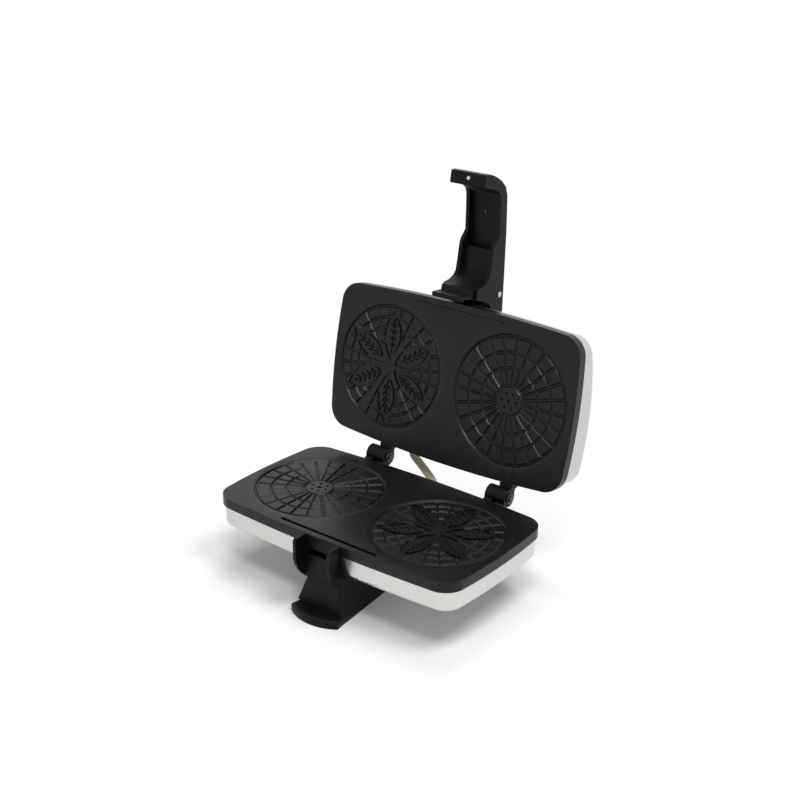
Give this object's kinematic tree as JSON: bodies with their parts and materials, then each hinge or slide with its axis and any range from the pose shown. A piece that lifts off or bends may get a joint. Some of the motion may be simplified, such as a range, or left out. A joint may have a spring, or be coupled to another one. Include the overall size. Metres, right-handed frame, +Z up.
{
  "type": "electric thin-wafer iron",
  "caption": "Electric thin-wafer iron: round patterned griddle plates in a silver shell, hinged lid with a latch lever, braided lead and a raised base on legs.",
  "frame": {"origin": "on the table, under the middle of the lower plate", "axes": "+X to the right seen from the latch side, +Y to the rear where the hinges are, +Z up"},
  "size_m": [0.2726, 0.2603, 0.3577],
  "materials": {
    "silver_shell": "satin silver, fine brushed",
    "nonstick_plate": "black non-stick coating on cast aluminium",
    "zinc_fastener": "zinc plated",
    "black_oxide": "black oxide steel",
    "heater_sheath": "heat-stained tubular sheath",
    "inner_sheet": "plain mill sheet",
    "wire_insulation": "white silicone insulation",
    "control_body": "ceramic cream, matte",
    "bush_plastic": "moulded black",
    "braided_sleeve": "woven glass-fibre sleeve, beige",
    "foot_rubber": "soft black",
    "black_plastic": "fine-grained black phenolic moulding"
  },
  "bodies": {
    "base": {"base_shell": "silver_shell", "lower_plate": "nonstick_plate", "lower_heater": "heater_sheath", "lower_heater_clamps": "inner_sheet", "lower_heat_shield": "inner_sheet", "lower_plate_spacers": "inner_sheet", "lower_plate_screws": "zinc_fastener", "base_wiring": "wire_insulation", "thermostat": "control_body", "thermal_fuse": "control_body", "terminal_block": "control_body", "mains_inlet_bush": "bush_plastic", "base_lead_bush": "bush_plastic", "latch_keeper": "black_plastic", "keeper_screws": "zinc_fastener", "front_leg": "black_plastic", "front_leg_screws": "zinc_fastener", "rear_leg_left": "black_plastic", "rear_leg_right": "black_plastic", "rear_leg_screws": "zinc_fastener", "foot_pads": "foot_rubber", "base_hinge_lug_left": "black_plastic", "base_hinge_lug_right": "black_plastic", "base_lug_screws": "zinc_fastener", "hinge_pin_left": "black_oxide", "hinge_pin_right": "black_oxide", "hinge_pin_clips": "black_oxide", "interconnect_lead": "braided_sleeve"},
    "lid": {"lid_shell": "silver_shell", "upper_plate": "nonstick_plate", "upper_heater": "heater_sheath", "upper_heater_clamps": "inner_sheet", "upper_heat_shield": "inner_sheet", "upper_plate_posts": "inner_sheet", "lid_wiring": "wire_insulation", "lid_lead_bush": "bush_plastic", "lid_hinge_lug_left": "black_plastic", "lid_hinge_lug_right": "black_plastic", "lid_lug_screws": "zinc_fastener", "latch_bracket": "black_plastic", "latch_bracket_screws": "zinc_fastener"},
    "latch": {"latch_pin": "zinc_fastener", "latch_lever": "black_plastic", "lever_back_cover": "black_plastic", "lever_cover_screws": "black_oxide"}
  },
  "joints": [
    {"name": "lid_hinge", "type": "hinge", "parent": "base", "child": "lid", "pos_m": [0, 0.0887, 0.076], "axis": [1, 0, 0], "range_deg": [0, 99.4], "deforming": ["interconnect_lead"]},
    {"name": "latch_pivot", "type": "hinge", "parent": "lid", "child": "latch", "pos_m": [0, 0.15474, 0.24164], "axis": [1, 0, 0], "range_deg": [0, 6.5]}
  ]
}
